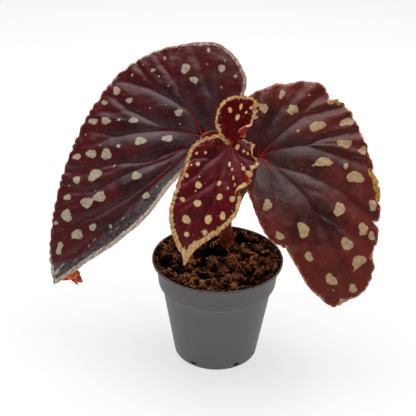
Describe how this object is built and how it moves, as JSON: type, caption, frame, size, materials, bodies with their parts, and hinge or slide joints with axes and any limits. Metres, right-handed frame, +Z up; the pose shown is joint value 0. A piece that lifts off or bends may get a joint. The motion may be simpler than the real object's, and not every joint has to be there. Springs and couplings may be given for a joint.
{
  "type": "potted begonia",
  "caption": "Cane begonia with broad spotted maroon leaves, growing in peat soil in a small tapered grey plastic nursery pot with a stepped rim",
  "frame": {"origin": "centre of the pot's resting face, which stands on the floor", "axes": "+Z up, -Y toward the side that the young front leaf faces, +X to the right as seen from there, toward the right leaf"},
  "size_m": [0.2929, 0.144, 0.2823],
  "materials": {
    "pot": "matte grey moulded plastic",
    "soil": "dark peat with coir fibres",
    "stem": "smooth dark red cane",
    "leaf_left": "dark maroon leaf with a grey sheen and beige spots",
    "leaf_right": "brown maroon leaf with tan spots",
    "leaf_young": "wine red leaf with cream spots and margin",
    "stipule": "thin red sheath with a pale edge"
  },
  "bodies": {
    "root": {"pot": "pot", "soil": "soil", "stem": "stem", "leaf_left": "leaf_left", "leaf_right": "leaf_right", "leaf_young": "leaf_young", "stipule": "stipule"}
  },
  "joints": []
}
